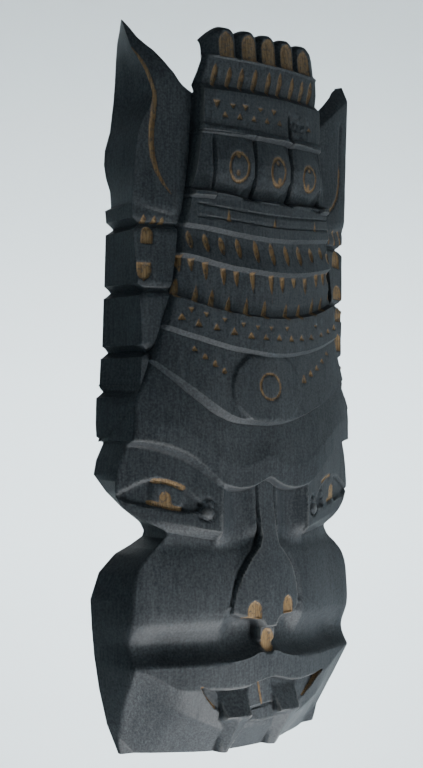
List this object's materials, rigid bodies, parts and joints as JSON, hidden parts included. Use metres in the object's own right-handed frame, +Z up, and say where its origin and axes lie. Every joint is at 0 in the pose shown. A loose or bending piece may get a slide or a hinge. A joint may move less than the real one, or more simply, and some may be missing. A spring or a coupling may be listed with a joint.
{
  "type": "carved wooden tiki wall mask",
  "caption": "Tall black-stained wooden wall mask with a stepped finger-topped headdress, stacked ear wings, hooded eyes, long nose, fangs and a ring hanger behind.",
  "frame": {"origin": "on the flat back, midway across and midway up the mask", "axes": "+X to the viewer's right, +Y out of the back towards the wall, +Z up; the carved front faces -Y"},
  "size_m": [0.223, 0.061, 0.508],
  "materials": {
    "black_wood": "black stain, rubbed matt, with bare tan wood in the gouged marks",
    "pale_wood": "bare",
    "steel": "zinc plated"
  },
  "bodies": {
    "mask": {"core_carving": "black_wood", "left_ear_wing": "black_wood", "right_ear_wing": "black_wood", "left_upper_dowel": "pale_wood", "left_lower_dowel": "pale_wood", "right_upper_dowel": "pale_wood", "right_lower_dowel": "pale_wood", "hanger_strap": "steel", "hanger_screw_1": "steel", "hanger_screw_2": "steel"},
    "ring": {"hanger_ring": "steel"}
  },
  "joints": [
    {"name": "ring_swing", "type": "hinge", "parent": "mask", "child": "ring", "pos_m": [0, -0.006, 0.158], "axis": [1, 0, 0], "range_deg": [-5, 175]}
  ]
}
